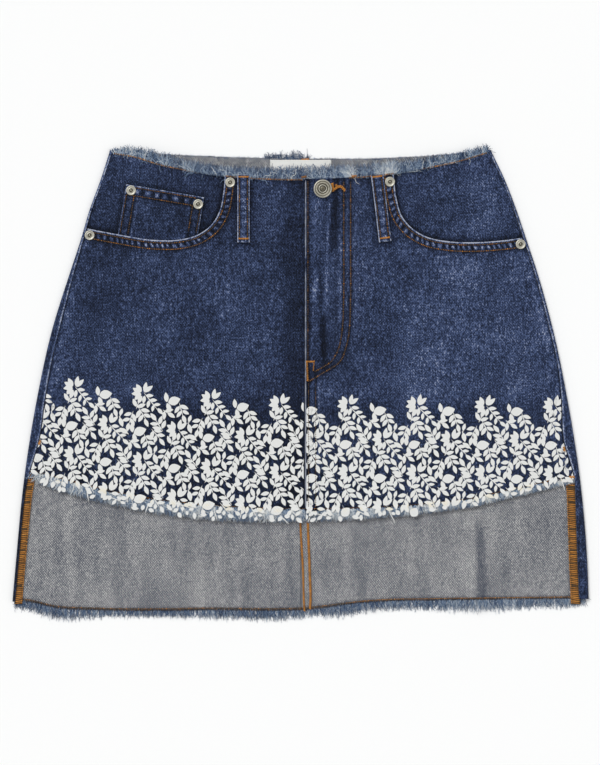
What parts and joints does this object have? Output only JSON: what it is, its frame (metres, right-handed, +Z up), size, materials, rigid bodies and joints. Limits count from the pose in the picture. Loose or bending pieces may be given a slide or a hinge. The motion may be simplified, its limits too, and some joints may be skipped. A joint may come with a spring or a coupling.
{
  "type": "denim skirt",
  "caption": "Short denim skirt laid flat, with raw frayed waist and hems, fly, belt loops, front pockets and a longer back.",
  "frame": {"origin": "centre of the laid garment's outline, on the surface that it lies on", "axes": "+X to the right across the width as seen from above, +Y from the hems to the waist, +Z up out of the front panels"},
  "size_m": [0.5307, 0.4371, 0.0122],
  "materials": {
    "denim": "indigo twill denim, softly washed, lighter along seams and folds",
    "fray": "loose pale blue and white cotton yarn ends",
    "thread": "matt golden brown sewing thread",
    "zip_tape": "dark woven zip tape",
    "label": "plain white woven label, blank",
    "print": "white pigment ink printed on denim, slightly cracked",
    "metal": "worn silver-toned tack button and rivets"
  },
  "bodies": {
    "root": {"back_left": "denim", "back_right": "denim", "front_left": "denim", "front_right": "denim", "pocket_facing_left": "denim", "pocket_facing_right": "denim", "coin_pocket": "denim", "fly_shield": "denim", "fly_zip": "zip_tape", "belt_loop_left": "denim", "belt_loop_right": "denim", "waist_label": "label", "side_overlock_left": "thread", "side_overlock_right": "thread", "fringe_front_hem": "fray", "fringe_back_hem": "fray", "fringe_front_waist_left": "fray", "fringe_front_waist_right": "fray", "fringe_back_waist": "fray", "waist_button": "metal", "rivet_coin_left": "metal", "rivet_coin_right": "metal", "rivet_pocket_left_inner": "metal", "rivet_pocket_left_outer": "metal", "rivet_pocket_right_inner": "metal", "rivet_pocket_right_outer": "metal"}
  },
  "joints": []
}
